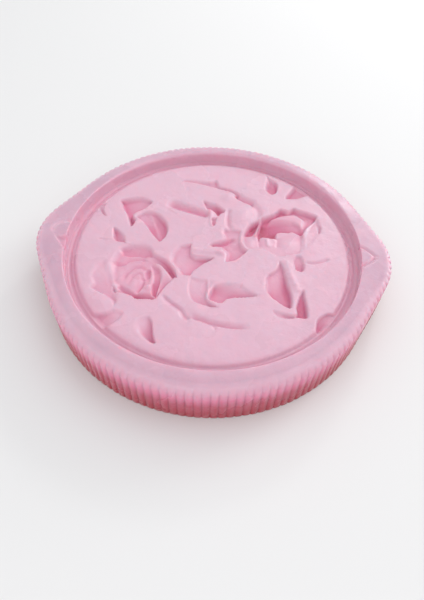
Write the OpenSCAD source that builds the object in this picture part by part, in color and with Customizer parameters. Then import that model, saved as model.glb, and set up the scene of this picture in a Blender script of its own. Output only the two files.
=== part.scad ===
// Silicone soap mould: a low round block with two pointed ears, a ribbed outer wall and a shallow round
// cavity whose floor carries two roses and scattered leaves in sunken relief. The origin is the middle of
// the underside, +X runs along the ears and +Z is up.

/* [Block] */
// Radius of the round body, to the valleys between the ribs
body_r = 74.5; // [73:0.5:77]
// Radius of the rounded tip of each ear
ear_r = 30.7; // [29:0.1:32]
// Distance from the middle to the centre of each ear's tip circle
ear_reach = 49.5; // [49:0.5:54]
// Overall height
height = 22.3; // [22:0.1:30]
// Radius of the soft upper outer edge
edge_r = 2.6; // [1.5:0.1:2.8]

/* [Ribs] */
// Number of ribs round the whole outline, a multiple of four
rib_count = 148; // [120:4:160]
// How far a rib stands out of the wall
rib_height = 0.7; // [0.3:0.1:1]

/* [Cavity] */
// Radius of the cavity's wall
cavity_r = 67.1; // [66:0.1:68]
// Radius of the raised floor inside the border groove
floor_r = 62.3; // [61:0.1:62.5]
// Height of the raised floor above the underside
floor_z = 18; // [17.5:0.1:19]
// How far the cavity sits off the block's middle along X
cavity_x = 0.3; // [0:0.1:1]
// How far the cavity sits off the block's middle along Y
cavity_y = 1.1; // [0:0.1:1.5]
// Depth of the border groove below the raised floor
groove_depth = 3.4; // [2.5:0.1:3.6]

/* [Ears] */
// How far each ear notch reaches out of the cavity's wall
notch_reach = 7.7; // [7:0.1:8.5]
// Width of each ear notch at the cavity's wall
notch_width = 15; // [13:0.5:16]
// Depth of each ear notch below the rim
notch_depth = 6.3; // [5:0.1:7]
// Radius of each rounded corner of a hole peg
peg_corner = 1.4; // [1:0.1:1.8]

/* [Relief] */
// Depth of a rose at its heart
rose_depth = 6; // [4:0.5:7]
// Radius of a rose's heart
heart_r = 11; // [9:0.5:12]
// Slope of a leaf's floor, in degrees
leaf_slope = 12; // [6:1:14]

/* [Hidden] */
arc_steps = 180;          // facets that OpenSCAD shows on large circles
overshoot = 1;            // how far a cutter passes a surface that it cuts
slab_z = 8;               // top of the plain slab under the relief
edge_set = 0.15;          // ledge between the ribs' ends and the soft edge
edge_turn = 18;           // turn from one facet of the soft edge to the next, in degrees
peg_gap = 1.1;            // width of the V groove round a peg
peg_drop = 0.3;           // how far a peg stops short of the rim
peg_setback = 0.2;        // from the cavity's wall to the peg's flat side
notch_tip_r = 0.8;        // radius of the V's tip
ear_angle = acos((body_r - ear_r) / ear_reach);
notch_floor_z = height - notch_depth;
petals = 5;               // outer petals of a rose, each overlapping its neighbours
petal_step = 62;          // angle from one petal to the next
petal_len = 1.45 * heart_r;
petal_wid = 1.1 * heart_r;
petal_deep = 0.42 * rose_depth;
petal_extra = 0.6;        // how much deeper every other petal is
curl_width = 1.3;         // thickness of a curled ridge
curl_sweep = 290;         // angle that a curled ridge turns through
// Curled ridges in a heart: radius as a share of the heart's, height, and angle past the first petal
CURLS = [[0.36, 2.1, 140], [0.7, 1.5, 90]];

// The outline is four arcs and four straights, symmetric about both axes. A quarter of it runs from the
// right ear's tip to the front or back of the body.
ear_run = ear_r * ear_angle * PI / 180;
straight_run = ear_reach * sin(ear_angle);
body_run = body_r * (90 - ear_angle) * PI / 180;
quarter_run = ear_run + straight_run + body_run;
rib_pitch = 4 * quarter_run / rib_count;
rib_steps = 6;            // straight pieces that make one rib

function polar(r, a) = [r * cos(a), r * sin(a)];

// Direction that the outline faces, a run s along the first quarter
function quarter_normal(s) =
    s < ear_run ? s / ear_r * 180 / PI
    : s < ear_run + straight_run ? ear_angle
    : ear_angle + (s - ear_run - straight_run) / body_r * 180 / PI;

// Point on the smooth outline, a run s along the first quarter
function quarter_point(s) =
    s < ear_run ? [ear_reach, 0] + polar(ear_r, quarter_normal(s))
    : s < ear_run + straight_run
        ? [ear_reach, 0] + polar(ear_r, ear_angle) + polar(s - ear_run, ear_angle + 90)
    : polar(body_r, quarter_normal(s));

// The same point and direction, a run s along the first half
function half_point(s) =
    s <= quarter_run ? quarter_point(s)
    : let (p = quarter_point(2 * quarter_run - s)) [-p.x, p.y];
function half_normal(s) =
    s <= quarter_run ? quarter_normal(s) : 180 - quarter_normal(2 * quarter_run - s);

// How far a round-backed rib stands out, a fraction u along its pitch, with crests at 0 and 1
function rib_out(u) = rib_height * sqrt(1 - pow(1 - abs(2 * u - 1), 2));

function ribbed_half() = [
    for (i = [0 : rib_count / 2 * rib_steps - 1])
        let (s = i * rib_pitch / rib_steps, u = (i % rib_steps) / rib_steps)
        half_point(s) + polar(rib_out(u), half_normal(s))
];

module ribbed_outline() {
    half = ribbed_half();
    polygon(concat(half, [for (p = half) -p]));
}

// The smooth outline as a ring of points, moved in by inset and raised to z
function outline_ring(inset, z) =
    let (half = [
        for (i = [0 : rib_count / 2 - 1])
            let (s = i * rib_pitch) half_point(s) - polar(inset, half_normal(s))
    ])
    [for (p = concat(half, [for (q = half) -q])) [p.x, p.y, z]];

// The block's top, from a foot sunk in the ribs up through a soft quarter-round edge
module soft_top() {
    edge_z = height - edge_r;
    profile = concat(
        [[edge_set, edge_z - overshoot]],
        [for (a = [0 : edge_turn : 90]) [edge_set + edge_r * (1 - cos(a)), edge_z + edge_r * sin(a)]]
    );
    rings = [for (p = profile) outline_ring(p[0], p[1])];
    last = len(rings) - 1;
    polyhedron(
        points = [for (ring = rings) each ring],
        faces = concat(
            [[for (i = [0 : rib_count - 1]) i]],
            [for (k = [1 : last], i = [0 : rib_count - 1])
                let (j = (i + 1) % rib_count, low = (k - 1) * rib_count, high = k * rib_count)
                [high + i, high + j, low + j, low + i]],
            [[for (i = [rib_count - 1 : -1 : 0]) last * rib_count + i]]
        )
    );
}

module at_cavity() translate([cavity_x, cavity_y, 0]) children();

// Plan of one ear notch: a triangle that opens into the cavity, with a small round tip
module notch_plan() {
    tip = cavity_r + notch_reach - notch_tip_r;
    mouth = cavity_r - 2 * overshoot;
    polygon([
        [mouth, -notch_width / 2], [mouth, notch_width / 2], [tip, notch_tip_r], [tip, -notch_tip_r]
    ]);
    translate([tip, 0]) circle(r = notch_tip_r, $fn = 32);
}

// Plan of one peg: a rounded triangle that fills the notch but for a narrow groove
module peg_plan() {
    inner = cavity_r + peg_setback + peg_corner;
    outer = cavity_r + notch_reach - 2 * peg_gap - peg_corner;
    half_w = notch_width / 2 - 2 * peg_gap - peg_corner;
    tri = [[inner, -half_w], [inner, half_w], [outer, 0]];
    for (p = tri) translate(p) circle(r = peg_corner, $fn = 32);
    lean = atan2(outer - inner, half_w);
    side = polar(peg_corner, lean);
    polygon([
        tri[0] - [peg_corner, 0], tri[0] + [side.y, -side.x], tri[2] + [side.y, -side.x],
        tri[2] + [side.y, side.x], tri[1] + [side.y, side.x], tri[1] - [peg_corner, 0]
    ]);
}

module rim_wall() color([0.88, 0.70, 0.77]) difference() {
    union() {
        linear_extrude(height - edge_r - edge_set) ribbed_outline();
        soft_top();
    }
    at_cavity() {
        translate([0, 0, -overshoot])
            cylinder(r = cavity_r, h = height + 2 * overshoot, $fn = arc_steps);
        for (turn = [0, 180]) rotate(turn) translate([0, 0, notch_floor_z])
            linear_extrude(notch_depth + overshoot) notch_plan();
    }
}

module floor_slab() color([0.84, 0.60, 0.68])
    at_cavity() cylinder(r = cavity_r, h = slab_z, $fn = arc_steps);

module hole_peg(turn) color([0.90, 0.76, 0.82])
    at_cavity() rotate(turn) translate([0, 0, notch_floor_z])
        linear_extrude(notch_depth - peg_drop) peg_plan();
module hole_peg_left() hole_peg(180);
module hole_peg_right() hole_peg(0);

// Side and bottom of the border groove: distance out of the raised floor's edge, and depth as a share of
// the groove's. Two fine ridges run along the bottom.
GROOVE_PROFILE = [
    [-1.2, 0], [-0.4, 0.06], [0, 0.24], [0.4, 0.59], [1, 0.76], [1.4, 0.69], [1.8, 0.85], [2.6, 1],
    [3.4, 1], [3.9, 0.85], [cavity_r + overshoot - floor_r, 0.85]
];

// Border groove between the raised floor and the cavity's wall
module border_groove()
    rotate_extrude($fn = arc_steps) translate([floor_r, floor_z]) polygon(concat(
        [[GROOVE_PROFILE[0][0], overshoot]],
        [for (p = GROOVE_PROFILE) [p[0], -groove_depth * p[1]]],
        [[cavity_r + overshoot - floor_r, overshoot]]
    ));

// Pointed oval of the given length and width, made by two crossing arcs
module leaf_outline(len, wid) {
    r = (len * len + wid * wid) / (4 * wid);
    intersection_for (side = [-1, 1]) translate([0, side * (r - wid / 2)]) circle(r = r, $fn = 96);
}

// Leaf-shaped cutter whose floor slopes down towards the right of the leaf's direction
module sloped_leaf(len, wid, deep) intersection() {
    reach = max(len, wid);
    translate([0, 0, -2 * deep]) linear_extrude(2 * deep + overshoot) leaf_outline(len, wid);
    rotate([leaf_slope, 0, 0]) translate([-reach, -reach, -deep]) cube([2 * reach, 2 * reach, 4 * deep]);
}

// Leaf pocket in the raised floor
module leaf_cut(at, turn, len, wid, deep)
    translate([at.x, at.y, floor_z]) rotate(turn) sloped_leaf(len, wid, deep);

// Twig: a V groove from one point to another
module twig_cut(from, to, deep) {
    run = to - from;
    translate([from.x, from.y, floor_z]) rotate(atan2(run.y, run.x)) rotate([90, 0, 90])
        linear_extrude(norm(run)) polygon([
            [0, -deep], [deep + overshoot, overshoot], [-deep - overshoot, overshoot]
        ]);
}

// Curled ridge on a rose's floor, open at one side
module rose_curl(r, tall, turn)
    rotate(turn) rotate_extrude(angle = curl_sweep, $fn = 64) translate([r, -overshoot])
        square([curl_width, tall + overshoot]);

// Rose pocket: sloping petals round a deep heart that holds the curled ridges
module rose_cut(at, first) translate([at.x, at.y, floor_z - rose_depth]) difference() {
    union() {
        cylinder(r = heart_r, h = rose_depth + overshoot, $fn = 64);
        for (i = [0 : petals - 1]) rotate(first + i * petal_step) translate([heart_r, 0, rose_depth])
            rotate(-90) sloped_leaf(petal_len, petal_wid, petal_deep + petal_extra * (i % 2));
    }
    for (curl = CURLS) rose_curl(heart_r * curl[0], curl[1], first + curl[2]);
}

// Roses: middle, measured from the cavity's centre, and direction of the first petal
ROSES = [[[-30, -22], 50], [[30, 15], -20]];
// Leaves: middle, direction, length, width and depth, measured from the cavity's centre
LEAVES = [
    [[-41, 20], 95, 24, 14, 3.0], [[-29, 11], -66, 24, 11, 3.4], [[-44, 1], -56, 15, 6, 2.8],
    [[-16, 25], -17, 22, 8, 2.6], [[-3, 27], -42, 16, 8, 3.4], [[26, 50], -82, 19, 7, 2.4],
    [[40, 44], 40, 17, 8, 2.4], [[-11, -7], -120, 18, 9, 3.0], [[-7, -10], 28, 18, 9, 3.0],
    [[7, 4], 28, 20, 9, 2.8], [[11, -25], -14, 25, 11, 3.0], [[31, -18], -79, 27, 11, 3.4],
    [[41, -29], -84, 17, 5, 4.2], [[-22, -47], -67, 17, 8, 2.8], [[47, -36], 62, 12, 5, 2.2],
    [[-38, -45], 25, 15, 6, 1.8], [[-56, 18], -55, 11, 3, 1.4], [[40, -6], -90, 9, 6, 2.2]
];
// Twigs: both ends and depth
TWIGS = [
    [[-20, 45], [2, 41], 1.6], [[2, 41], [18, 32], 1.8], [[43, -3], [55, -1], 0.9],
    [[-55, -2], [-47, 0], 0.9], [[-18, -32], [-7, -40], 1.5], [[-7, -40], [20, -43], 1.5]
];

module relief_face() color([0.86, 0.62, 0.71]) at_cavity() difference() {
    translate([0, 0, slab_z]) cylinder(r = cavity_r, h = floor_z - slab_z, $fn = arc_steps);
    border_groove();
    for (leaf = LEAVES) leaf_cut(leaf[0], leaf[1], leaf[2], leaf[3], leaf[4]);
    for (twig = TWIGS) twig_cut(twig[0], twig[1], twig[2]);
    for (rose = ROSES) rose_cut(rose[0], rose[1]);
}

floor_slab();
rim_wall();
relief_face();
hole_peg_left();
hole_peg_right();
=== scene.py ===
"""Silicone soap mould with a sunken rose relief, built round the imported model."""
import math

import bpy
import numpy as np
from mathutils import Matrix, Vector


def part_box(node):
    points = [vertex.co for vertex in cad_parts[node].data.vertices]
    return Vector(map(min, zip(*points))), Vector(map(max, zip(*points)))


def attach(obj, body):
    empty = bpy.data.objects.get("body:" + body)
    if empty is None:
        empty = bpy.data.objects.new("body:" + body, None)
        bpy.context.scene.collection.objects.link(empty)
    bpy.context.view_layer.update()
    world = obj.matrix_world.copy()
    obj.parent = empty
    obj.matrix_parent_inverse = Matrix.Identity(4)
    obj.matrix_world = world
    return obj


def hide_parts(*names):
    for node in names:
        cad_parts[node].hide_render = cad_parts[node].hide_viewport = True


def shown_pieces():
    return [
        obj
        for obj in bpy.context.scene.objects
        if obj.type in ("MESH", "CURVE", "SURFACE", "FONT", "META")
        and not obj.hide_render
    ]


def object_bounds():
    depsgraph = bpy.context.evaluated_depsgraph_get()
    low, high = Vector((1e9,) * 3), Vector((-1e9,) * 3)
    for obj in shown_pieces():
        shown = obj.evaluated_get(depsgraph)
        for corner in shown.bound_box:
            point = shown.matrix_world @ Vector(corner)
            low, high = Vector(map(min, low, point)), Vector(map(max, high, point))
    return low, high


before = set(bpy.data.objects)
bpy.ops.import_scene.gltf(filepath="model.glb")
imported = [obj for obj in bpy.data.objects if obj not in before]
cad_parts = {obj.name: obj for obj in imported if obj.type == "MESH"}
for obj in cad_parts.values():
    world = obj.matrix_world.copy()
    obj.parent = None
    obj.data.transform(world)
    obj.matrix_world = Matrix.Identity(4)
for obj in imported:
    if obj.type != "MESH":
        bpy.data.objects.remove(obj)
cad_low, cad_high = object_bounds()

MM = 0.001                      # all lengths below are millimetres, unless a comment says metres


def node_box(name):
    """Lowest and highest corner of a CAD node, in millimetres."""
    low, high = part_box(name)
    return np.array(low) / MM, np.array(high) / MM


# ---------------------------------------------------------------- dimensions
LOW, HIGH = np.array(cad_low) / MM, np.array(cad_high) / MM
TOP = HIGH[2]
slab_low, slab_high = node_box("floor_slab")
face_high = node_box("relief_face")[1]
CENTRE = (slab_low[:2] + slab_high[:2]) / 2
CAVITY_R = (slab_high[0] - slab_low[0]) / 2
SLAB_Z = slab_high[2]
FLOOR_Z = face_high[2]
RIB_COUNT = 148                 # ribs round the whole outline
RIB_HEIGHT = 0.7
EAR_R = 30.7                    # radius of the ears' round ends
BODY_R = (HIGH[1] - LOW[1]) / 2 - RIB_HEIGHT
EAR_REACH = (HIGH[0] - LOW[0]) / 2 - RIB_HEIGHT - EAR_R   # how far out those ends have their middles


# ---------------------------------------------------------------- camera
VIEW_ELEVATION = 52.17          # degrees, as are the next two
VIEW_TURN = 4.92
VIEW_ROLL = 2.04
VIEW_DISTANCE = 218.72
VIEW_TARGET = (2.27, -15.95, 0)
LENS = 27.86
SENSOR_WIDTH = 36
CLIP_START = 0.01               # metres


def add_camera():
    """Camera at the usual viewing angle, from the front and above."""
    elevation, turn, roll = (math.radians(degrees) for degrees in (VIEW_ELEVATION, VIEW_TURN, VIEW_ROLL))
    distance = VIEW_DISTANCE * MM
    target = Vector(VIEW_TARGET) * MM
    back = Vector((
        math.sin(turn) * math.cos(elevation), -math.cos(turn) * math.cos(elevation), math.sin(elevation)
    ))
    right = Vector((math.cos(turn), math.sin(turn), 0))
    up = back.cross(right)
    # turned about the line of sight
    rolled_x = right * math.cos(roll) + up * math.sin(roll)
    rolled_y = up * math.cos(roll) - right * math.sin(roll)
    data = bpy.data.cameras.new("camera")
    data.sensor_width = SENSOR_WIDTH
    data.lens = LENS
    data.clip_start = CLIP_START
    camera = bpy.data.objects.new("camera", data)
    bpy.context.collection.objects.link(camera)
    camera.matrix_world = Matrix.Translation(target + back * distance) @ Matrix((
        (rolled_x.x, rolled_y.x, back.x, 0),
        (rolled_x.y, rolled_y.y, back.y, 0),
        (rolled_x.z, rolled_y.z, back.z, 0),
        (0, 0, 0, 1),
    ))
    bpy.context.scene.camera = camera


add_camera()


# ---------------------------------------------------------------- numbers and noise
def smooth(t):
    """Smooth step from 0 to 1, as t goes from 0 to 1."""
    t = np.clip(t, 0, 1)
    return t * t * (3 - 2 * t)


def unevenness(x, y, size, seed):
    """Gentle waves about as long as size, from -1 to 1, the same on every run."""
    rng = np.random.default_rng(seed)
    total = np.zeros_like(x, dtype=float)
    waves = 6
    for _ in range(waves):
        heading, phase = rng.uniform(0, 2 * math.pi, 2)
        length = size * rng.uniform(0.7, 1.5)
        total += np.sin((x * math.cos(heading) + y * math.sin(heading)) * 2 * math.pi / length + phase)
    return total / waves


# ---------------------------------------------------------------- mesh helpers
def make_object(name, points, faces):
    """Smooth-shaded mesh object from points in millimetres."""
    mesh = bpy.data.meshes.new(name)
    mesh.from_pydata((np.asarray(points) * MM).tolist(), [], faces)
    mesh.validate()
    mesh.update()
    mesh.polygons.foreach_set("use_smooth", [True] * len(mesh.polygons))
    piece = bpy.data.objects.new(name, mesh)
    bpy.context.collection.objects.link(piece)
    return piece


def settle(piece, material, *nodes):
    """Puts the material on a new piece and lets it stand for its CAD nodes."""
    piece.data.materials.append(material)
    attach(piece, "root")
    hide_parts(*nodes)


# ---------------------------------------------------------------- painting a depth
CURVE_STEPS = 5                 # pieces of line from one chosen point to the next
CURVE_PULL = 0.42               # how far the line swings out between them
TINY = 1e-9                     # keeps a division away from zero


def curve_through(points, closed):
    """Smooth line through given points, as a run of short straight pieces."""
    p = np.array(points, float)
    if closed:
        before, start, end, after = np.roll(p, 1, 0), p, np.roll(p, -1, 0), np.roll(p, -2, 0)
    else:
        q = np.concatenate([2 * p[:1] - p[1:2], p, 2 * p[-1:] - p[-2:-1]])
        before, start, end, after = q[:-3], q[1:-2], q[2:-1], q[3:]
    out = []
    for t in np.arange(CURVE_STEPS) / CURVE_STEPS:
        leave, arrive = CURVE_PULL * (end - before), CURVE_PULL * (after - start)
        out.append(
            (2 * t ** 3 - 3 * t ** 2 + 1) * start + (t ** 3 - 2 * t ** 2 + t) * leave
            + (3 * t ** 2 - 2 * t ** 3) * end + (t ** 3 - t ** 2) * arrive
        )
    line = np.stack(out, 1).reshape(-1, 2)
    return line if closed else np.concatenate([line, p[-1:]])


class Relief:
    """The sunken picture: plan points round the cavity's middle, and the depth at each."""

    def __init__(self, x, y):
        self.x, self.y = x.ravel(), y.ravel()
        self.depth = np.zeros(self.x.size)

    def nearby(self, line, margin):
        """Indices of the points in a box round a line."""
        low, high = line.min(0) - margin, line.max(0) + margin
        return np.flatnonzero(
            (self.x > low[0]) & (self.x < high[0]) & (self.y > low[1]) & (self.y < high[1])
        )

    def nearest(self, at, line, closed):
        """Distance to a line, which side each point is on, how far along, and the offset from the line."""
        a = line if closed else line[:-1]
        b = np.roll(line, -1, 0) if closed else line[1:]
        run = b - a
        px, py = self.x[at][:, None] - a[:, 0], self.y[at][:, None] - a[:, 1]
        t = np.clip((px * run[:, 0] + py * run[:, 1]) / np.maximum((run ** 2).sum(1), TINY), 0, 1)
        ox, oy = px - t * run[:, 0], py - t * run[:, 1]
        squared = ox ** 2 + oy ** 2
        k = squared.argmin(1)
        row = np.arange(len(at))
        side = run[k, 0] * oy[row, k] - run[k, 1] * ox[row, k]
        along = (k + t[row, k]) / len(a)
        return np.sqrt(squared[row, k]), side, along, ox[row, k], oy[row, k]

    def inside(self, at, line):
        """Which points are inside a closed line: a ray from one crosses the line an odd number of times."""
        a, b = line, np.roll(line, -1, 0)
        x, y = self.x[at][:, None], self.y[at][:, None]
        crosses = (a[:, 1] > y) != (b[:, 1] > y)
        rise = np.where(b[:, 1] == a[:, 1], 1, b[:, 1] - a[:, 1])
        return (crosses & (x < (b[:, 0] - a[:, 0]) * (y - a[:, 1]) / rise + a[:, 0])).sum(1) % 2 == 1

    def pocket(self, outline, shallow, deep, back=1.6, front=0.5, left=None, right=None, keep=0.0):
        """Hollow with its own floor, which falls from the shallow point to the deep one: (x, y, depth).

        Back, front, left and right are how soft each side is, and keep is how much of what was there stays.
        """
        left = (back + front) / 2 if left is None else left
        right = (back + front) / 2 if right is None else right
        line = curve_through(outline, True)
        at = self.nearby(line, 0.1)
        distance, _, _, ox, oy = self.nearest(at, line, True)
        within = self.inside(at, line)
        at, distance, ox, oy = at[within], distance[within], ox[within], oy[within]
        across, along = ox / np.maximum(distance, TINY), oy / np.maximum(distance, TINY)
        sideways, lengthways = np.where(across < 0, right, left), np.where(along < 0, back, front)
        cover = smooth(distance / (across ** 2 * sideways + along ** 2 * lengthways))
        fall = np.array(deep[:2]) - np.array(shallow[:2])
        t = ((self.x[at] - shallow[0]) * fall[0] + (self.y[at] - shallow[1]) * fall[1]) / (fall @ fall)
        floor = shallow[2] + (deep[2] - shallow[2]) * smooth(t)
        under = self.depth[at]
        self.depth[at] = under * (1 - cover) + (floor + keep * under) * cover

    def groove(self, points, depth, left=1.5, right=1.5, ends=0.15):
        """Channel along a line, as wide as left and right of it. A negative depth makes a ridge."""
        line = curve_through(points, False)
        at = self.nearby(line, max(left, right))
        distance, side, along, _, _ = self.nearest(at, line, False)
        width = np.where(side > 0, left, right)
        fade = smooth(along / ends) * smooth((1 - along) / ends) if ends else 1.0
        self.depth[at] += depth * (1 - smooth(distance / width)) * fade

    def crease(self, points, drop, reach, ends=0.2):
        """Step along a line: the ground drops on its right side and comes back up within the reach."""
        line = curve_through(points, False)
        lead, width = 0.15, 0.5                  # where the step starts before the line, and its own width
        at = self.nearby(line, 3 * reach)
        distance, side, along, _, _ = self.nearest(at, line, False)
        signed = np.where(side > 0, -distance, distance)
        fade = smooth(along / ends) * smooth((1 - along) / ends)
        step = smooth((signed + lead) / width) * np.exp(-np.maximum(signed, 0) / reach)
        self.depth[at] += drop * step * fade

    def dome(self, x, y, half_long, half_wide, turn, height):
        """Low oval swelling round (x, y), with its long axis turned by so many degrees."""
        c, s = math.cos(math.radians(turn)), math.sin(math.radians(turn))
        u = ((self.x - x) * c + (self.y - y) * s) / half_long
        v = (-(self.x - x) * s + (self.y - y) * c) / half_wide
        self.depth -= height * smooth(1 - np.sqrt(u * u + v * v))


# ---------------------------------------------------------------- rim
def outline_quarter(run):
    """Point and outward angle on the first quarter of the smooth outline, at each run along it."""
    ear_angle = math.acos((BODY_R - EAR_R) / EAR_REACH)
    ear_run = EAR_R * ear_angle
    straight = EAR_REACH * math.sin(ear_angle)
    on_ear, on_straight = run < ear_run, run < ear_run + straight
    angle = np.where(
        on_ear, run / EAR_R,
        np.where(on_straight, ear_angle, ear_angle + (run - ear_run - straight) / BODY_R)
    )
    along = np.where(on_ear | ~on_straight, 0, run - ear_run)
    radius = np.where(on_straight, EAR_R, BODY_R)
    x = np.where(on_straight, EAR_REACH, 0) + radius * np.cos(angle) - along * math.sin(ear_angle)
    y = radius * np.sin(angle) + along * math.cos(ear_angle)
    return x, y, angle


def quarter_length():
    """Length of a quarter of the smooth outline."""
    ear_angle = math.acos((BODY_R - EAR_R) / EAR_REACH)
    return EAR_R * ear_angle + EAR_REACH * math.sin(ear_angle) + BODY_R * (math.pi / 2 - ear_angle)


def outline(columns):
    """Points and outward directions of the whole smooth outline, evenly spaced."""
    quarter = quarter_length()
    run = np.arange(columns) * 4 * quarter / columns
    side = (run // quarter).astype(int)
    local = run - side * quarter
    local = np.where(side % 2 == 1, quarter - local, local)
    x, y, angle = outline_quarter(local)
    flip_x = np.where((side == 1) | (side == 2), -1, 1)
    flip_y = np.where(side >= 2, -1, 1)
    outward = np.stack([np.cos(angle) * flip_x, np.sin(angle) * flip_y], 1)
    return np.stack([x * flip_x, y * flip_y], 1), outward


def carve_ears(x, y):
    """Depth of the soft grooves round the two hole pegs, below the rim."""
    r = Relief(x, y)
    # left peg: a curved groove behind it, and a hollow before it that opens into the cavity
    r.groove([(-66.0, 3.8), (-70, 3.7), (-73, 1.8), (-74.3, -1.3), (-73.6, -4.0)],
             0.6, 1.4, 1.2, ends=0.12)
    r.pocket([(-74.2, -3.6), (-72, -4.8), (-70, -5.2), (-67.5, -4.6), (-63, -4), (-61, -14), (-65.7, -13.2),
              (-69.2, -9.6)], (-73, -4, 0.3), (-66.5, -9, 2.2), back=2.2, front=0.5, left=0.5, right=0.5)
    # right peg: a groove on each side, which meet at its tip
    r.groove([(66.0, 5.7), (68.3, 4.7), (70.8, 2.7), (72.8, 0.5), (73.5, -0.8)],
             0.8, 1.1, 1.5, ends=0.1)
    r.groove([(73.5, -0.8), (72.2, -2.2), (70.0, -4.3), (67.5, -6.2), (65.5, -7.4)],
             1.2, 0.8, 1.9, ends=0.1)
    return r.depth


PER_RIB = 6                     # points on each rib
# the next four are each a size, and what is added to it at the front or the back
VALLEY_SINK = (0.1, 0.35)       # how far the valleys cut in below the outline, more at the back
EDGE_R = (1.8, 2.1)             # rounding of the rim's outer edge, more at the front
EDGE_FALL = (0.3, 0.8)          # how much lower the rim is at its outer side, more at the front
LIP_R = (0.35, 1.3)             # rounding of the lip round the cavity, more at the back
RIM_DROP = 0.05                 # how far the rim stays below the CAD model's top
BASE_TONE = 0.45                # the underside
FOOT_INSET = 2.5                # where the underside starts to take on the wall's tone, its painted shade
FLASH_HEIGHTS = (0.0, 0.35)     # bottom and top of the flash, the thin uneven edge at the table
FLASH_RIBS = 0.45               # how much of the ribs' height shows in it
WALL_SHADE_TONES = ((0.9, 1.0), (4, 0.97), (10, 0.85), (14, 0.62))      # height, tone; painted shade, the outer wall darkening to deep red towards the table
EDGE_SHADE_TONES = (                  # degrees, tone; painted shade, deep at the foot of the edge and pale over its top
    (0, 0.42), (15, 0.33), (30, 0.24), (45, 0.17), (60, 0.11), (75, 0.08), (90, 0.06),
)
FADE_DEGREES = 42               # where on the edge the ribs start to fade out, and over how much of it
LIP_SHADE_TONES = ((22, 0.03), (45, 0.07), (67, 0.12), (90, 0.18))      # degrees, tone; painted shade, greyer at the top of the lip and deeper pink down the cavity's wall
GROOVE_SHADE_TONE = 0.28              # painted shade: tone added for each millimetre of depth of the grooves round the hole pegs
MOST_GROOVE_SHADE_TONE = 0.24
FLAT_ROWS = 14                  # rings across the rim's flat top
LAST_RING_Z = 18.2              # on the cavity's wall


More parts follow.
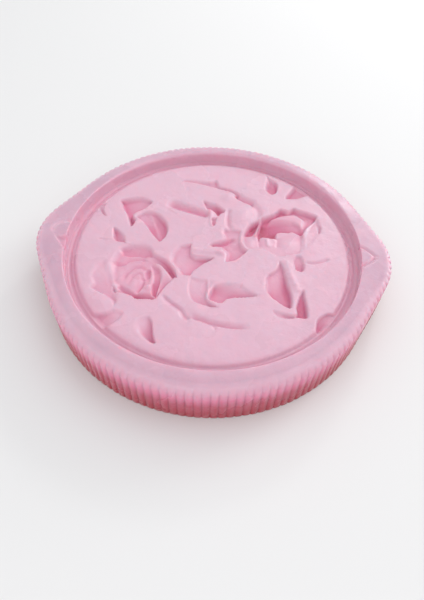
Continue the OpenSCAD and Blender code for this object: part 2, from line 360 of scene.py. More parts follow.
class Rim:
    """Rings of points from the slab's edge down, out, up the ribs, over the rim and into the cavity."""

    def __init__(self):
        self.columns = RIB_COUNT * PER_RIB
        self.base, self.normal = outline(self.columns)
        to_base = self.base - CENTRE
        self.angle = np.arctan2(to_base[:, 1], to_base[:, 0])
        self.direction = np.stack([np.cos(self.angle), np.sin(self.angle)], 1)
        self.back = np.sin(self.angle)                     # 1 at the very back, -1 at the very front
        self.front = smooth((-self.back - 0.1) / 0.6)      # 0 at the back and sides, 1 at the front
        self.fall = EDGE_FALL[0] + EDGE_FALL[1] * self.front
        phase = (np.arange(self.columns) % PER_RIB) / PER_RIB
        sink = VALLEY_SINK[0] + VALLEY_SINK[1] * smooth((self.back + 0.3) / 0.5)
        self.rib = (RIB_HEIGHT + sink) * np.sqrt(np.clip(1 - (1 - np.abs(2 * phase - 1)) ** 2, 0, 1)) - sink
        self.rows, self.tones = [], []

    def outer_row(self, z, tone, rib_share=1.0, inset=0.0, extra=0.0):
        """Ring along the outline, with so much of the ribs' height."""
        out = self.rib * rib_share - inset + extra
        ring = self.base + self.normal * out[:, None]
        self.rows.append(np.column_stack([ring, np.broadcast_to(z, (self.columns,))]))
        self.tones.append(np.full(self.columns, tone))

    def ring_row(self, z, tone):
        """Round ring as wide as the cavity."""
        ring = CENTRE + self.direction * CAVITY_R
        self.rows.append(np.column_stack([ring, np.full(self.columns, z)]))
        self.tones.append(np.full(self.columns, tone))

    def top_row(self, ring, z, tone):
        """Ring on the rim's top, lower in the grooves round the hole pegs, with painted shade there and a
        little at the rim's front and back.
        """
        drop = carve_ears(ring[:, 0] - CENTRE[0], ring[:, 1] - CENTRE[1])
        # painted shade on the rim's top, a little deeper at its front and back
        rim_shade = 0.02 + 0.05 * smooth((-self.back - 0.3) / 0.6) + 0.03 * smooth((self.back - 0.4) / 0.5)
        self.rows.append(np.column_stack([ring, z - drop]))
        self.tones.append(tone + rim_shade + np.minimum(GROOVE_SHADE_TONE * drop, MOST_GROOVE_SHADE_TONE))

    def add_wall(self):
        """Underside, flash and ribbed wall, with painted shade that darkens the wall and flash towards the
        table.
        """
        self.ring_row(SLAB_Z, BASE_TONE)
        self.ring_row(0.0, BASE_TONE)
        self.outer_row(0.0, 0.5, rib_share=0.0, inset=FOOT_INSET)
        flash = 0.2 + 0.1 * unevenness(self.base[:, 0], self.base[:, 1], size=9, seed=3)
        # painted shade: the flash takes the deepest tone
        for z in FLASH_HEIGHTS:
            self.outer_row(z, 1.0, rib_share=FLASH_RIBS, extra=flash)
        for z, tone in WALL_SHADE_TONES:
            self.outer_row(z, tone)

    def add_edge(self):
        """Rounded outer edge, softer at the front, where the ribs also fade out sooner, with painted shade
        that lightens up over it.
        """
        edge_r = EDGE_R[0] + EDGE_R[1] * self.front
        edge_z = TOP - RIM_DROP - self.fall - edge_r
        sooner = 26 * smooth((-self.back - 0.1) / 0.5)     # degrees
        for degrees, tone in EDGE_SHADE_TONES:
            a = math.radians(degrees)
            fade = 1 - smooth((degrees - FADE_DEGREES + sooner) / FADE_DEGREES)
            inset = edge_r * (1 - math.cos(a))
            self.outer_row(edge_z + edge_r * math.sin(a), tone, rib_share=fade, inset=inset)

    def add_top(self):
        """Top, which falls a little towards its outer side, and the lip round the cavity, with painted
        shade down the lip.
        """
        lip_r = LIP_R[0] + LIP_R[1] * smooth((self.back - 0.25) / 0.6)
        shoulder = self.rows[-1][:, :2]
        lip = CENTRE + self.direction * (CAVITY_R + lip_r)[:, None]
        for share in np.linspace(0, 1, FLAT_ROWS + 1)[1:] ** 0.9:
            flat = shoulder * (1 - share) + lip * share
            dip = 0.08 * unevenness(flat[:, 0], flat[:, 1], size=16, seed=5) * math.sin(share * math.pi)
            z = TOP - RIM_DROP - np.maximum(dip, -RIM_DROP) - self.fall * (1 - share) ** 2
            self.top_row(flat, z, 0)
        for degrees, tone in LIP_SHADE_TONES:
            a = math.radians(degrees)
            ring = CENTRE + self.direction * (CAVITY_R + lip_r * (1 - math.sin(a)))[:, None]
            self.top_row(ring, TOP - RIM_DROP - lip_r * (1 - math.cos(a)), tone)
        # painted shade on the cavity's wall
        self.ring_row(LAST_RING_Z, 0.2)


def zipped(low, low_angle, high, high_angle):
    """Triangles between two rings of points that run the same way round but aren't in step."""
    turn = 2 * math.pi
    low_angle = np.append(np.unwrap(low_angle), low_angle[0] + turn)
    high_angle = np.append(np.unwrap(high_angle), high_angle[0] + turn)
    faces, i, j = [], 0, 0
    while i < len(low) or j < len(high):
        here, there = low[i % len(low)], high[j % len(high)]
        if j == len(high) or (i < len(low) and low_angle[i + 1] <= high_angle[j + 1]):
            faces.append((here, low[(i + 1) % len(low)], there))
            i += 1
        else:
            faces.append((here, high[(j + 1) % len(high)], there))
            j += 1
    return faces


# ---------------------------------------------------------------- relief face
PLATEAU_TONE = 0.12             # the raised floor
DEPTH_SHADE_TONE = 0.09               # painted shade: tone added for each millimetre of depth
SUNK_SHADE_TONE = 0.15                # painted shade, the same for depth below the surroundings
MOST_SHADE_TONE = 0.62                # the most that these two add
BORDER_SHADE_TONE = 0.07              # painted shade: tone added for each millimetre of the border groove
RINGS = 130                     # steps of the grid from the middle to the border
FINE_RINGS = 20                 # how many of them lie outside FINE_R
FINE_R = 60.0
BORDER_PROFILE = (              # radius and depth of the border groove, with fine ridges along its bottom
    (0, 0), (59.5, 0), (61.2, 0.08), (62, 0.3), (62.5, 0.7), (63, 1.3), (63.5, 1.75), (63.8, 1.45),
    (64.2, 1.9), (64.8, 2.2), (65.4, 2.2), (65.8, 1.9), (66.1, 1.6), (66.5, 1.8), (66.8, 1.6), (67.2, 1.3),
)
BORDER_RISE = 0.3               # how much of that depth is missing at the front
MOST_RAISED = 1.2               # how far a swelling may stand above the raised floor
LEAST_COVER = 1                 # how much stays between the deepest hollow and the slab
PICTURE_R = 61.5                # where the picture starts to fade out into the border groove
PICTURE_FADE = 2.5              # over what distance it does


def disc_grid():
    """Square grid bent into a disc: plan points in rows, with closer rings near the border."""
    side = np.arange(-RINGS, RINGS + 1)
    a, b = np.meshgrid(side, side)
    ring = np.maximum(np.abs(a), np.abs(b)).astype(float)
    wide = np.abs(a) >= np.abs(b)
    major = np.where(wide, a, b)
    minor = np.where(wide, b, a)
    turn = minor / np.where(major == 0, 1, major) * math.pi / 4
    theta = np.where(wide, turn, math.pi / 2 - turn)
    inner = RINGS - FINE_RINGS
    radius = np.where(
        ring <= inner, ring / inner * FINE_R, FINE_R + (ring - inner) / FINE_RINGS * (CAVITY_R - FINE_R)
    )
    radius *= np.sign(major)
    return radius * np.cos(theta), radius * np.sin(theta)


def border_depth(radius):
    """Depth of the border groove below the raised floor."""
    radii, depths = zip(*BORDER_PROFILE)
    return np.interp(radius, radii, depths)


def near_front(y):
    """From 0, a third of the way from the cavity's middle to its front, to 1 nearer the front."""
    return smooth((-y / CAVITY_R - 0.3) / 0.5)


def carve_back(r):
    """Leaves behind the roses, each with a soft back edge and a sharper front one."""
    # the pair of leaves on the left, the second with a raised vein
    r.pocket([(-40.5, 8), (-44.5, 16.5), (-47, 20), (-49, 24), (-50, 27), (-46, 29.5), (-40, 31),
              (-35, 29.5), (-33.5, 27), (-35, 24), (-37, 21), (-40, 18.5), (-41, 16.8), (-39, 13.4)],
             (-37, 30, 1.7), (-46, 19, 2.9), back=3.0, front=0.7, left=1.9, right=0.9)
    r.pocket([(-40, 16), (-37, 20), (-33, 21.3), (-30, 20.5), (-27.5, 18.5), (-24.5, 15), (-22.8, 11),
              (-22.3, 8), (-22.7, 4), (-24, 1.5), (-25, 0), (-28, 3), (-31, 6.5), (-34.5, 11), (-37.5, 14)],
             (-37, 18, 1.5), (-28, 12, 2.8), back=2.6, front=0.6, left=1.8, right=1.2)
    r.groove([(-33.5, 20), (-30.5, 14), (-27.5, 8), (-25, 2)], -0.35, 1.3, 1.3)
    # small leaf, tip and fine line near the left border
    r.pocket([(-48.7, 7.5), (-45, 5.6), (-42, 2.8), (-40.8, 0), (-39.8, -3), (-38.5, -5.2), (-41.4, -2.6),
              (-45.2, -2.2), (-47.2, 0), (-48, 3)], (-42, 3, 1.0), (-46, 0.5, 2.2), back=1.8, front=0.7)
    r.pocket([(-60, 22), (-58.5, 18), (-56, 15), (-53, 13), (-55.5, 17), (-56.5, 20), (-56, 23)],
             (-56, 20, 0.8), (-57, 18, 1.2), back=0.9, front=0.6)
    r.groove([(-54, -1.5), (-50, -1.8), (-47, -1.5)], 0.4, 0.8, 0.5)
    # long leaf with its vein, the deep one at its right end, and a raised stem and a tip before that
    r.groove([(-27, 27), (-22, 26), (-13, 23.5), (-7, 22), (-3, 21)], 2.0, 5.0, 3.0, ends=0.25)
    r.groove([(-25, 24.5), (-22, 22), (-19, 20)], -0.3, 0.8, 1.2)
    r.pocket([(-9, 32.5), (-5, 31.5), (-2, 31), (0, 29.5), (2, 27.5), (3.5, 26), (3, 24.5), (1.5, 23.5),
              (1, 22), (0, 21), (-0.5, 22), (-2, 24), (-4, 25.5), (-6, 26), (-7.5, 28)],
             (-3, 31, 1.6), (-1, 26, 3.4), back=2.2, front=0.6)
    r.groove([(-5, 26), (-3.5, 22), (-2.5, 17), (-1.5, 13)], -0.7, 1.6, 1.6)
    r.pocket([(-3, 19.5), (-2.7, 16.5), (-1.7, 14), (-0.7, 14.5), (-0.3, 17), (0, 20.5), (-1.5, 20)],
             (-1, 20, 1.0), (-2, 15, 1.8), back=0.9, front=0.5)
    # two leaves on the right, one of which reaches into the border
    r.pocket([(21.5, 59), (22.5, 53), (22, 49), (22, 45.5), (24, 42.5), (26, 41.5), (28, 43), (29, 47),
              (28.8, 50), (27.5, 52.5), (25, 54.5), (23.5, 57)],
             (25, 57, 0.9), (25, 46, 3.0), back=2.2, front=0.7, left=2.4, right=0.9)
    r.pocket([(33, 39), (32.5, 41), (34, 44), (36, 48), (39, 52.5), (46, 52), (50, 47), (46.2, 45),
              (43, 42.5), (41, 41), (38, 39.5)],
             (44, 47, 2.2), (37, 41, 2.7), back=1.6, front=0.8, left=2.4, right=1.0)


def carve_middle(r):
    """Twigs and leaves between the roses, from the back to the front."""
    # back twig, which turns down beside the right rose
    r.pocket([(-22.5, 45.4), (-19, 48), (-12, 48.2), (-7, 48.2), (-3.8, 49.8), (-2, 47.4), (-1, 45),
              (4, 43.6), (9, 41), (9.5, 38), (8, 36.8), (5.5, 39.8), (1, 41.3), (-5, 42.9), (-10, 44),
              (-16, 44.9)],
             (-10, 48, 0.8), (-8, 44, 1.4), back=2.6, front=0.7)
    r.groove([(7, 38.4), (9.5, 36), (13, 34), (18, 32)], 1.7, 4.2, 1.6)
    r.groove([(15, 33), (18.6, 30), (19.6, 25), (18, 20), (15.5, 15)], 0.9, 3.0, 2.6)
    # swellings and a hollow between the twig and the rose
    r.dome(11.5, 23, 10, 7, 80, 0.9)
    r.dome(3.8, 36, 5.5, 4.5, 0, 1.0)
    r.groove([(5, 28), (5, 22), (5.5, 16), (8, 12)], 0.8, 2.2, 1.6)
    # folded leaf in the middle, and the one on its left
    r.pocket([(-2.5, 1), (0, 3.2), (3, 5.6), (3.8, 8), (2.8, 11), (4, 13.6), (8, 14), (12.5, 13), (13, 7),
              (14, 3), (16.5, 0.5), (16, -1), (13, -5), (10, -7.5), (6, -8), (6, -3), (5, -0.6), (3, 0.6)],
             (10, 13, 1.3), (5, 2, 2.0), back=2.4, front=1.0, left=2.4, right=1.6)
    r.groove([(-2, 1.6), (2, 3), (6, 5.4), (10, 8.4)], 0.9, 1.4, 3.0)
    r.pocket([(-16, -1), (-13, 0.5), (-10, 1.3), (-9.6, -1.5), (-9.2, -4.4), (-7.6, -5.8), (-4.5, -6),
              (-1, -5.8), (1.5, -6.6), (-0.5, -9), (-3, -11), (-5, -13.5), (-7, -16), (-8, -18.5),
              (-12, -18.5), (-15, -15), (-18.5, -11), (-19, -8), (-18, -5)],
             (-16, -6, 1.3), (-3, -8, 2.5), back=2.2, front=0.8, left=2.6, right=1.0)
    # raised twig across them, with a knot
    r.groove([(-9.5, -3), (-4, -3.2), (2, -3), (6, -3)], -0.5, 2.2, 2.2)
    r.dome(3.8, -3, 3.2, 2.6, 0, 0.9)
    # pair of leaves farther forward, with a step between them
    r.pocket([(3, -22), (8, -20), (15, -20), (16, -21), (19, -23), (22, -25), (23.5, -25.8), (18, -27.5),
              (12, -28.5), (9.5, -29.5), (8.5, -31), (6.5, -32), (4, -31.5), (1, -30), (1.5, -26)],
             (12, -21, 0.7), (10, -28, 2.5), back=2.4, front=0.6)
    r.pocket([(-8, -19), (-4, -19.5), (0, -19.5), (1.2, -24), (1, -29), (4, -32.5), (7, -34.5), (2, -34.6),
              (-4, -33), (-7, -30), (-8.5, -25)],
             (-6, -20, 0.5), (2, -31, 1.6), back=2.0, front=0.7, keep=0.5)
    r.crease([(1.8, -29), (1, -24), (0.5, -19.5)], 0.7, 1.6)
    # front twigs, with a swelling and a short spur
    r.groove([(-19, -30), (-14, -34), (-9, -37.5), (-7, -40.5), (-4, -42)], 0.9, 1.2, 2.4)
    r.dome(-3, -36.5, 5.5, 4, 10, 0.5)
    r.groove([(-6, -41), (0, -42), (4, -43.3), (12, -44), (20.5, -43.5)], 1.1, 3.2, 0.7)
    r.groove([(5, -43.5), (6.5, -46)], 0.5, 0.8, 0.8)


def carve_front(r):
    """Leaves and twigs before the right rose, and the leaves along the front border."""
    # large leaf with its vein, the narrow one on its right, and a shallow hollow before them
    r.pocket([(31, -4), (30, -8), (28.5, -10.5), (26, -13), (25, -15.5), (25, -20), (26, -23.5),
              (28.5, -26.5), (31, -28.5), (34, -30.5), (36.5, -31), (37, -26), (36.5, -22), (35, -17),
              (34, -12), (33, -8)], (27, -16, 1.5), (34, -22, 3.0), back=1.8, front=0.7, right=0.8)
    r.groove([(32, -8), (32.7, -14), (33.8, -20), (35.5, -28)], 0.35, 2.0, 2.0)
    r.pocket([(42, -20), (42.5, -24), (43.3, -29), (43.3, -35.3), (38.3, -35.2), (39, -33), (38.5, -30),
              (39, -27), (40, -23), (41.5, -20)], (41.5, -21, 1.7), (41.5, -31, 3.1), back=1.0, front=0.5)
    r.pocket([(28.5, -33), (31, -33), (35, -33.5), (38, -34), (38.3, -36), (31, -36.5)],
             (31, -34, 0.7), (36, -35, 1.4), back=1.2, front=0.6)
    # hollow and fine line under the rose, and a raised twig with two knots
    r.pocket([(36.8, -3), (37.5, -6.5), (38.2, -9), (41, -10), (42.6, -7.5), (42.6, -4), (41, 0),
              (38.5, 0.4)], (40, -2, 1.2), (40, -8.5, 2.2), back=1.8, front=0.6)
    r.groove([(42, -4), (46, -4.3), (50, -3), (54, -0.5)], 0.6, 1.8, 0.7)
    r.groove([(33.5, -3), (36, -11), (38.5, -19), (40, -22)], -0.6, 2.0, 2.6)
    r.dome(36.3, -14, 2.2, 1.8, 0, 0.4)
    r.dome(38.5, -18, 2.2, 1.6, 0, 0.4)
    # leaves along the front border, from the right to the left, and a swelling behind the last
    r.pocket([(47, -42), (47, -36), (49, -33), (51, -31.5), (54, -31), (58, -34), (54, -42)],
             (51, -32, 1.4), (50, -40, 3.0), back=1.2, front=0.6)
    r.pocket([(-26, -44), (-22, -42), (-20, -44), (-19, -47), (-18, -51), (-16.3, -55.3), (-19, -55.5),
              (-23, -53), (-26, -50), (-27.5, -47)], (-25.5, -47, 0.6), (-19.5, -50, 2.4),
             back=1.8, front=2.5, left=3.5, right=0.6)
    r.pocket([(-47, -45), (-41, -43), (-38, -41.5), (-36.8, -40.5), (-32, -42), (-33, -46), (-36, -49),
              (-42, -51)], (-35, -43, 0.6), (-42, -46, 1.7), back=2.0, front=0.9)
    r.dome(-43, -37.5, 6, 4.5, -20, 0.5)


def carve_left_rose(r):
    """Full rose seen from above: petals curl round a heart that sits deep in the middle."""
    # faint outer petal on the left, the whole rose, and the outer petal at its back
    r.pocket([(-47, -14), (-51, -18), (-52, -24), (-50, -28), (-50, -31), (-46, -33), (-42, -35),
              (-39, -37), (-37, -40), (-35, -36), (-38, -28), (-42, -20)],
             (-51, -20, 0.6), (-44, -30, 1.3), back=2.0, front=1.5, left=2.5, right=4.0)
    r.pocket([(-44, -8), (-41, -5), (-38, -2.8), (-33, -1.8), (-28, -3.4), (-25.5, -7), (-22, -8.8),
              (-19, -11.4), (-16, -14.6), (-13.8, -19.2), (-15, -22), (-17, -25), (-18.5, -28.5),
              (-20.5, -33.3), (-24, -33.5), (-28, -34.2), (-31, -33.3), (-34, -32.5), (-38.3, -31.8),
              (-40, -28.5), (-42.5, -25), (-44, -20), (-45, -14)],
             (-40, -5, 1.9), (-30, -14, 1.7), back=5.0, front=1.0, left=4.0, right=1.6)
    r.pocket([(-42, -4), (-38, -1.4), (-33, -0.6), (-28.5, -2), (-25.5, -6), (-23, -9.6), (-27, -10.8),
              (-32, -9.8), (-37, -10.4), (-41, -9.6), (-43, -7)],
             (-35, -1, 1.0), (-36, -9, 2.4), back=5.0, front=1.4, left=3.5, right=3.0, keep=0.1)
    # folds at the back and on the left
    r.groove([(-45, -14.5), (-41, -15.6), (-38.5, -15), (-36, -12.3), (-32, -11.2), (-27, -11.8)],
             0.5, 2.6, 0.8)
    r.groove([(-44.2, -14), (-43.6, -19), (-42, -25), (-39.5, -29)], 0.35, 3.5, 2.0)
    r.dome(-39, -21, 6, 2.8, -75, 0.3)
    # slot behind the right petal, and the petal itself
    r.pocket([(-30, -8.0), (-25, -8.0), (-20.5, -9.8), (-17.2, -12.7), (-14.8, -16.2), (-13.4, -20.3),
              (-15.2, -20.2), (-18.2, -18), (-20.4, -15.6), (-23.4, -13.2), (-27, -11.8), (-30, -10.8)],
             (-28, -9, 1.6), (-17.5, -17, 3.2), back=1.6, front=0.7, left=2.0, right=1.1)
    r.pocket([(-26, -12.3), (-22, -12.6), (-19, -15.2), (-16.3, -18.6), (-15, -21.5), (-17, -25),
              (-18.5, -28.5), (-20, -31), (-20.7, -27), (-20.6, -21), (-22, -16.5)],
             (-17.5, -18, 0.9), (-20.5, -26, 1.9), back=0.8, front=1.4, left=0.9, right=1.4)
    # two folds on the right of the heart
    r.pocket([(-26.5, -13.4), (-23, -14.4), (-21.2, -17.5), (-20.6, -22), (-20.8, -27), (-21, -31),
              (-23, -30.4), (-24, -26), (-24.4, -21), (-25.4, -17)],
             (-24, -20, 2.4), (-21.2, -25, 3.4), back=2.0, front=0.8, left=1.0, right=0.5)
    r.pocket([(-28.8, -18), (-27.6, -15.6), (-25.8, -16.2), (-25, -20), (-24.7, -24), (-24.8, -28.4),
              (-26, -27.6), (-27.3, -24), (-28.2, -20.5)],
             (-25, -24, 1.9), (-27, -20, 2.8), back=1.8, front=1.2, left=1.3, right=0.7)
    # heart
    r.groove([(-36.5, -25), (-35.5, -19.5), (-33, -16.4), (-30, -16), (-28.3, -18)], 0.5, 2.2, 0.5)
    r.groove([(-34, -26), (-32.8, -21), (-30.8, -19.2), (-29.4, -20.5), (-29.4, -24)], 0.4, 1.6, 0.5)
    r.groove([(-27.8, -21), (-27.8, -26), (-29.6, -30.5)], 0.9, 0.7, 1.6)
    r.dome(-31.5, -25.5, 4, 2.6, 70, 0.4)
    # crevices along the front
    r.pocket([(-40.4, -27.4), (-39.4, -28.4), (-37.6, -31.9), (-38.6, -32), (-40, -29.8)],
             (-40, -28, 1.6), (-38.4, -31, 2.2), back=0.5, front=0.4)
    r.groove([(-39, -27.8), (-35.5, -30), (-33, -31.2), (-30, -32.4)], 1.1, 3.0, 0.7)
    r.pocket([(-31.5, -31.6), (-28.5, -29.2), (-25, -28.6), (-22.5, -30), (-20.9, -33.6), (-24, -33.8),
              (-28, -34.4), (-30.5, -33.6)], (-26, -29, 2.0), (-27, -33, 3.8), back=1.8, front=0.5)
    r.groove([(-21.3, -34), (-20.4, -30.8), (-18.8, -27.5)], 1.8, 0.6, 0.6, ends=0.3)
    r.dome(-25.2, -26.2, 2.4, 1.5, 70, 1.0)


def carve_right_rose(r):
    """Rose seen a little from the side: low front petals before a deep heart, and a terrace behind it."""
    # front petals, and the shallow one on the right
    r.pocket([(13.2, 11), (12.8, 7), (13.5, 4), (15.5, 1.5), (18, 0.8), (22, 1.8), (26, 0), (31, -2),
              (36, -0.5), (40, 1), (41.7, 4), (42, 9), (42, 14), (38, 19), (30, 19), (20, 15)],
             (28, 1, 0.7), (26, 12, 1.5), back=1.5, front=1.0)
    r.pocket([(42, 3), (42, 14), (44, 20), (47, 25), (49.5, 26), (50.5, 21), (49, 14), (46, 8)],
             (48, 12, 0.3), (45, 22, 1.0), back=2.0, front=1.5)
    # back petal, the terrace inside it, and the heart with the ridge on its left
    r.pocket([(13.5, 11), (15, 16), (17, 19.5), (20, 22.5), (24, 25), (27, 27), (28.5, 29), (30.5, 31.3),
              (33, 31), (34.5, 30.4), (36, 32), (37.5, 33), (40, 31.8), (43, 31), (46, 29.8), (48.5, 28.7),
              (49, 27), (47.5, 24), (45, 21), (43, 17.5), (41.5, 14), (35, 17), (28, 14), (20, 12),
              (16, 10.3)], (44, 27, 2.5), (18, 13, 4.0), back=1.6, front=0.7, left=1.2)
    r.pocket([(25.5, 24.2), (28, 26.0), (31, 27.5), (34.5, 28.5), (38, 29.0), (41, 27.8), (44, 24.6),
              (42.5, 19), (40, 17.5), (34, 18), (28, 18), (24, 20)],
             (36, 27, 1.3), (30, 20, 1.8), back=0.7, front=2.0, left=1.6, right=3.0)
    r.pocket([(20, 21.5), (24, 24), (28, 25.2), (33, 25.4), (37, 25.2), (40.5, 22.6), (42.3, 18),
              (41.3, 13.8), (39, 16), (37, 17), (35, 15.5), (32, 15.5), (29.5, 14.5), (29, 11), (28, 10.5),
              (24, 11), (22, 10.5), (21, 8), (20, 10), (19.5, 15)],
             (32, 25, 2.6), (27, 14, 5.9), back=4.6, front=0.6, left=2.0, right=1.4)
    r.groove([(21.2, 23), (20.6, 19), (19.6, 15), (18.6, 10.5)], -2.2, 1.2, 1.2, ends=0.1)
    # steps between the front petals, the groove and slot on the right, and swellings
    r.crease([(21, 3), (20.8, 6), (20.3, 10)], 0.8, 1.3)
    r.crease([(25.2, 3.8), (24.6, 7), (24, 10.5)], -0.9, 1.4)
    r.crease([(29, 4), (29.3, 8), (28.8, 11.5)], 0.4, 1.8)
    r.groove([(41.8, 14), (42, 9), (41.6, 3)], 0.5, 0.7, 0.7)
    r.pocket([(47.5, 23.5), (50.5, 20.5), (50, 16), (49, 15.5), (48.6, 19)],
             (49, 21, 1.0), (49.3, 17, 1.6), back=0.8, front=0.5)
    r.dome(35, 8, 6.5, 6, 0, 0.5)
    r.dome(17, 6, 3.2, 5, 0, 0.4)


def carve(x, y):
    """Depth below the raised floor at each plan point."""
    r = Relief(x, y)
    carve_left_rose(r)
    carve_right_rose(r)
    carve_back(r)
    carve_middle(r)
    carve_front(r)
    broad, narrow = unevenness(r.x, r.y, size=22, seed=11), unevenness(r.x, r.y, size=8, seed=12)
    r.depth += 0.12 * broad + 0.05 * narrow
    radius = np.hypot(r.x, r.y)
    border = border_depth(radius) * (1 - BORDER_RISE * near_front(r.y))
    picture = 1 - smooth((radius - PICTURE_R) / PICTURE_FADE)
    r.depth = r.depth * picture + border
    return np.clip(r.depth, -MOST_RAISED, FLOOR_Z - SLAB_Z - LEAST_COVER).reshape(x.shape)


def blurred(grid, cells):
    """The grid with each value averaged over its neighbours, three box passes in each direction."""
    kernel = np.ones(cells) / cells
    ends, none = (cells // 2, cells // 2), (0, 0)
    for _ in range(3):
        for axis, margins in enumerate(((ends, none), (none, ends))):
            padded = np.pad(grid, margins, mode="edge")
            grid = np.apply_along_axis(lambda line: np.convolve(line, kernel, "valid"), axis, padded)
    return grid


def relief_tone_and_shade(x, y, depth):
    """Painted shade: deeper pink in the hollows, most of all in those that drop below their surroundings.
    """
    radius = np.hypot(x, y)
    # painted shade: how far each point sinks below its blurred surroundings
    sunk = np.clip(depth - blurred(depth, cells=7), -0.5, 1.2)
    hollow = np.clip(DEPTH_SHADE_TONE * depth + SUNK_SHADE_TONE * sunk, 0, MOST_SHADE_TONE)
    # painted shade in the border groove, lighter at the front, and deeper against the cavity's wall
    groove_shade, wall_shade = BORDER_SHADE_TONE - 0.03 * near_front(y), 0.04 * smooth((radius - 65.5) / 1.5)
    border = groove_shade * border_depth(radius) + wall_shade
    in_border = smooth((radius - 60) / 2)
    in_picture = 1 - smooth((radius - 62) / 2)
    return PLATEAU_TONE + np.maximum(hollow * in_picture, border * in_border)


def build_casting(material):
    """Rim, hole pegs and relief face in one skin, as they are one casting."""
    x, y = disc_grid()
    depth = carve(x, y)
    size = 2 * RINGS + 1
    face = np.column_stack([x.ravel() + CENTRE[0], y.ravel() + CENTRE[1], FLOOR_Z - depth.ravel()])
    index = np.arange(size * size).reshape(size, size)
    corners = [index[:-1, :-1], index[:-1, 1:], index[1:, 1:], index[1:, :-1]]
    faces = np.stack([c.ravel() for c in corners], 1).tolist()
    # the grid's border, from its right side round, as the rim's rings run
    border = np.concatenate([index[0, :-1], index[:-1, -1], index[-1, :0:-1], index[:0:-1, 0]])
    border = np.roll(border, -3 * RINGS)
    rim = Rim()
    rim.add_wall()
    rim.add_edge()
    rim.add_top()
    rings = (np.arange(len(rim.rows) * rim.columns).reshape(-1, rim.columns) + len(face)).tolist()
    for low, high in zip(rings[:-1], rings[1:]):
        for i in range(rim.columns):
            beside = (i + 1) % rim.columns
            faces.append((low[i], low[beside], high[beside], high[i]))
    faces.append(rings[0][::-1])
    border_angle = np.arctan2(y.ravel()[border], x.ravel()[border])
    faces += zipped(rings[-1], rim.angle, border.tolist(), border_angle)
    piece = make_object("casting", np.concatenate([face] + rim.rows), faces)
    add_tone(piece, np.concatenate([relief_tone_and_shade(x, y, depth).ravel()] + rim.tones))
    settle(piece, material, "rim_wall", "relief_face", "hole_peg_left", "hole_peg_right")


# ---------------------------------------------------------------- material
def add_tone(piece, tone):
    """Stores how deep the pink is at each point, from pale 0 to deep 1; most of it is painted shade."""
    layer = piece.data.attributes.new("tone", "FLOAT", "POINT")
    layer.data.foreach_set("value", np.asarray(tone, dtype=np.float32))


PINKS_AND_PAINTED_SHADE = (                       # tone and colour; the greyer first is the rim's painted shade, the last two the painted shade of hollows, grooves and the outer wall
    (0.0, (0.62, 0.385, 0.485)),
    (PLATEAU_TONE, (0.75, 0.485, 0.585)),
    (0.55, (0.73, 0.235, 0.37)),
    (1.0, (0.40, 0.03, 0.055)),
)
CLOUD_AMOUNT = 0.13             # how much the tone varies in soft clouds
LEAST_ROUGH = 0.15
ROUGH_AMOUNT = 0.24             # how much duller handled places are
SCATTER = (1.0, 0.38, 0.42)     # red light goes deepest into the silicone
SCATTER_DEPTH = 0.0013          # metres
GRAIN_HEIGHT = 0.00012          # metres
WAVE_HEIGHT = 0.0006            # metres


def silicone(name, steady_tone=None):
    """Soft translucent silicone; the tone, mostly painted shade, comes from the mesh, or is the same all
    over.
    """
    material = bpy.data.materials.new(name)
    material.use_nodes = True
    nodes, links = material.node_tree.nodes, material.node_tree.links
    shader = nodes["Principled BSDF"]

    def add(kind, **settings):
        """New node with these properties or socket values."""
        node = nodes.new(kind)
        for key, value in settings.items():
            if hasattr(node, key):
                setattr(node, key, value)
            else:
                node.inputs[key].default_value = value
        return node

    def noise(scale, detail):
        """Noise in the object's own space, with about so many waves to a metre."""
        node = add("ShaderNodeTexNoise", Scale=scale, Detail=detail)
        links.new(place.outputs["Object"], node.inputs["Vector"])
        return node.outputs["Fac"]

    def maths(kind, a, b):
        """Output of a math node for two numbers or sockets."""
        node = add("ShaderNodeMath", operation=kind)
        for socket, value in zip(node.inputs, (a, b)):
            if isinstance(value, bpy.types.NodeSocket):
                links.new(value, socket)
            else:
                socket.default_value = value
        return node.outputs[0]

    place = add("ShaderNodeTexCoord")
    cloud = noise(scale=70, detail=3)
    tone = steady_tone
    if tone is None:
        tone = add("ShaderNodeAttribute", attribute_name="tone").outputs["Fac"]
    varied = maths("ADD", tone, maths("MULTIPLY", maths("SUBTRACT", cloud, 0.5), CLOUD_AMOUNT))
    ramp = add("ShaderNodeValToRGB")
    for at, _ in PINKS_AND_PAINTED_SHADE[1:-1]:
        ramp.color_ramp.elements.new(at)
    for stop, (at, colour) in zip(ramp.color_ramp.elements, PINKS_AND_PAINTED_SHADE):
        stop.position = at
        stop.color = (*colour, 1)
    links.new(varied, ramp.inputs["Fac"])
    links.new(ramp.outputs["Color"], shader.inputs["Base Color"])

    rough = maths("ADD", maths("MULTIPLY", noise(scale=45, detail=4), ROUGH_AMOUNT), LEAST_ROUGH)
    links.new(rough, shader.inputs["Roughness"])

    grain = add("ShaderNodeBump", Strength=0.25, Distance=GRAIN_HEIGHT)
    links.new(noise(scale=2600, detail=3), grain.inputs["Height"])
    waves = add("ShaderNodeBump", Strength=0.5, Distance=WAVE_HEIGHT)
    links.new(noise(scale=260, detail=4), waves.inputs["Height"])
    links.new(grain.outputs["Normal"], waves.inputs["Normal"])
    links.new(waves.outputs["Normal"], shader.inputs["Normal"])

    for socket, value in (
        ("Subsurface Weight", 1.0), ("Subsurface Radius", SCATTER), ("Subsurface Scale", SCATTER_DEPTH),
        ("IOR", 1.41), ("Sheen Weight", 0.12), ("Sheen Roughness", 0.4),
    ):
        shader.inputs[socket].default_value = value
    return material


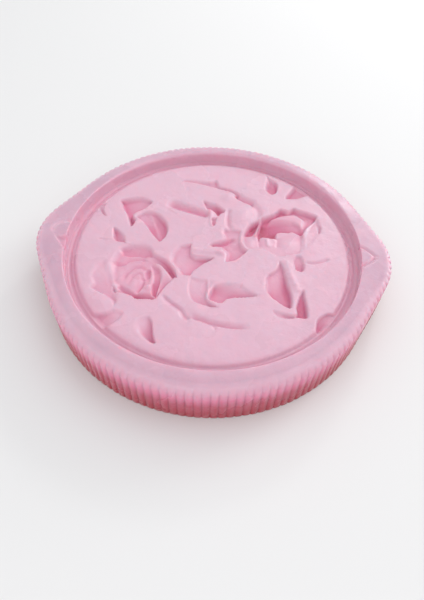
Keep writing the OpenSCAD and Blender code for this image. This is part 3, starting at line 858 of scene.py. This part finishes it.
# ---------------------------------------------------------------- stage
LIGHTS = (                      # name, place and size in metres, power in watts
    ("key", (0.42, 0.50, 0.85), 1.1, 3.2),
    ("window", (0.80, 0.70, 0.42), 0.35, 2.4),
    ("fill", (-0.1, -0.85, 0.55), 0.8, 2.2),
    ("glint", (0.30, 0.82, 0.47), 0.1, 0.8),
)
FLOOR_HALF = 1.5                # metres
FLOOR_DROP = 0.0002             # metres, so that the floor doesn't share the underside's plane
SKY_COLOUR = (0.95, 0.97, 1, 1)
SKY_STRENGTH = 0.76


def add_light(name, place, size, power):
    """Soft square light, turned towards the object."""
    data = bpy.data.lights.new(name, "AREA")
    data.size = size
    data.energy = power
    light = bpy.data.objects.new(name, data)
    bpy.context.collection.objects.link(light)
    light.location = place
    light.rotation_euler = (-Vector(place)).to_track_quat("-Z", "Y").to_euler()


def add_floor():
    """Plain pale floor."""
    corners = [(-1, -1), (1, -1), (1, 1), (-1, 1)]
    mesh = bpy.data.meshes.new("floor")
    mesh.from_pydata([(x * FLOOR_HALF, y * FLOOR_HALF, 0) for x, y in corners], [], [(0, 1, 2, 3)])
    floor = bpy.data.objects.new("floor", mesh)
    bpy.context.collection.objects.link(floor)
    paper = bpy.data.materials.new("paper")
    paper.use_nodes = True
    shader = paper.node_tree.nodes["Principled BSDF"]
    shader.inputs["Base Color"].default_value = (0.82, 0.81, 0.80, 1)
    shader.inputs["Roughness"].default_value = 0.8
    mesh.materials.append(paper)
    floor.location.z = -FLOOR_DROP


def add_stage():
    """Floor, even sky light, and the lights."""
    add_floor()
    world = bpy.data.worlds.new("world")
    bpy.context.scene.world = world
    world.use_nodes = True
    sky = world.node_tree.nodes["Background"]
    sky.inputs["Color"].default_value = SKY_COLOUR
    sky.inputs["Strength"].default_value = SKY_STRENGTH
    for light in LIGHTS:
        add_light(*light)
    bpy.context.scene.view_settings.view_transform = "Standard"


build_casting(silicone("pink_silicone"))
base_pink = silicone("pink_silicone_base", BASE_TONE)
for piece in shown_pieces():
    if piece.name == "floor_slab":
        for slot in piece.material_slots:
            slot.material = base_pink
add_stage()
